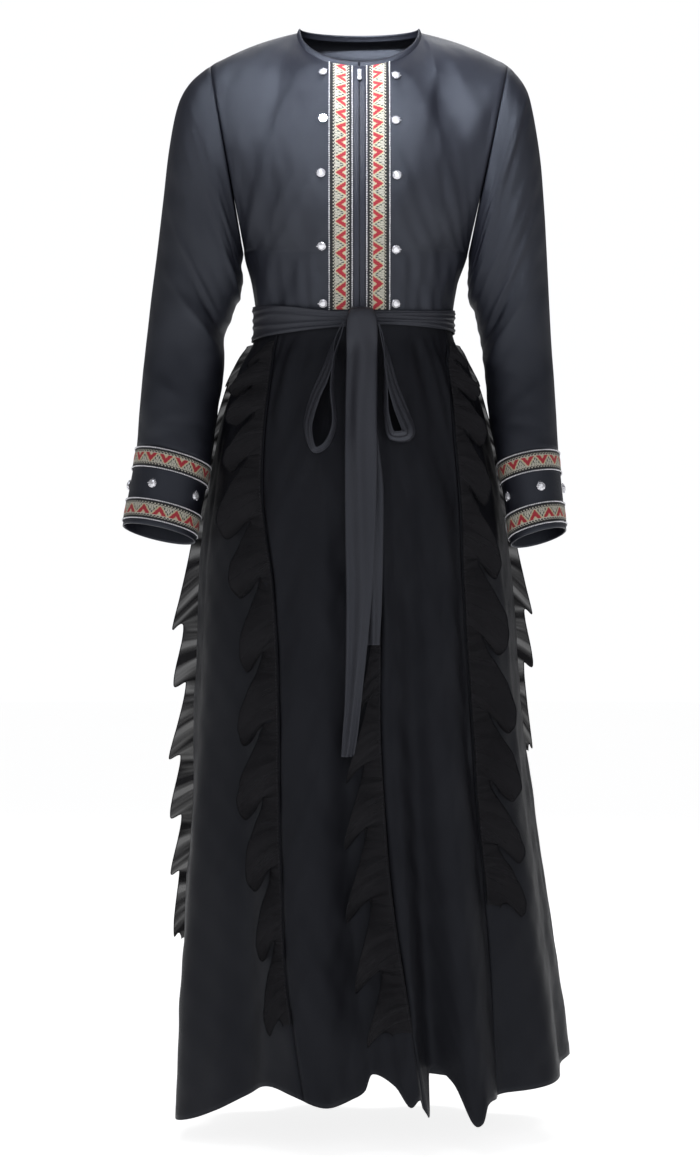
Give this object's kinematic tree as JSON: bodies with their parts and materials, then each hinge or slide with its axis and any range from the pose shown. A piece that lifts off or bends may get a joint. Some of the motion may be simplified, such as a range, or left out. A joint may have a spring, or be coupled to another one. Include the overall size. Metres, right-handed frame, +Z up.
{
  "type": "abaya",
  "caption": "Long open-neck abaya in its worn hollow form: zipped front with woven ribbon trim, set-in sleeves, tied sash and flared skirt with chiffon ruffles.",
  "frame": {"origin": "centre of the neck opening, level with the points where shoulder and neck meet; the wearer holds the garment up there", "axes": "+Z up, the front faces -Y, +X towards the wearer's left"},
  "size_m": [0.577, 0.4176, 1.4039],
  "materials": {
    "crepe": "matte navy-black crepe with a soft sheen",
    "chiffon": "semi-sheer matte black chiffon",
    "satin": "dark satin strip over the zip",
    "ribbon": "woven ribbon, red chevrons on cream and black, with bead braid edges",
    "gem": "faceted silver-white acrylic gem",
    "metal": "polished zip slider and pull tab"
  },
  "bodies": {
    "garment": {"bodice_front_right": "crepe", "bodice_front_left": "crepe", "bodice_back": "crepe", "neck_binding": "crepe", "sleeve_right": "crepe", "sleeve_left": "crepe", "cuff_right": "crepe", "cuff_left": "crepe", "belt": "crepe", "belt_knot": "crepe", "bow_loop_right": "crepe", "bow_loop_left": "crepe", "belt_tail_front": "crepe", "belt_tail_rear": "crepe", "skirt_side_right": "crepe", "skirt_front_right": "crepe", "skirt_front_left": "crepe", "skirt_side_left": "crepe", "skirt_back": "crepe", "ruffle_front_right": "chiffon", "ruffle_centre": "chiffon", "ruffle_front_left": "chiffon", "ruffle_side_right": "chiffon", "ruffle_side_left": "chiffon", "zip_placket": "satin", "trim_front_right": "ribbon", "trim_front_left": "ribbon", "cuff_trim_upper_right": "ribbon", "cuff_trim_lower_right": "ribbon", "cuff_trim_upper_left": "ribbon", "cuff_trim_lower_left": "ribbon", "gem_front_right_1": "gem", "gem_front_right_2": "gem", "gem_front_right_3": "gem", "gem_front_right_4": "gem", "gem_front_right_5": "gem", "gem_front_left_1": "gem", "gem_front_left_2": "gem", "gem_front_left_3": "gem", "gem_front_left_4": "gem", "gem_front_left_5": "gem", "gem_cuff_right_1": "gem", "gem_cuff_right_2": "gem", "gem_cuff_right_3": "gem", "gem_cuff_right_4": "gem", "gem_cuff_right_5": "gem", "gem_cuff_left_1": "gem", "gem_cuff_left_2": "gem", "gem_cuff_left_3": "gem", "gem_cuff_left_4": "gem", "gem_cuff_left_5": "gem", "zip_slider": "metal"},
    "zip_pull": {"zip_pull": "metal"}
  },
  "joints": [
    {"name": "pull_tab_swing", "type": "hinge", "parent": "garment", "child": "zip_pull", "pos_m": [0, -0.08644, -0.06369], "axis": [-1, 0, 0], "range_deg": [0, 165]}
  ]
}
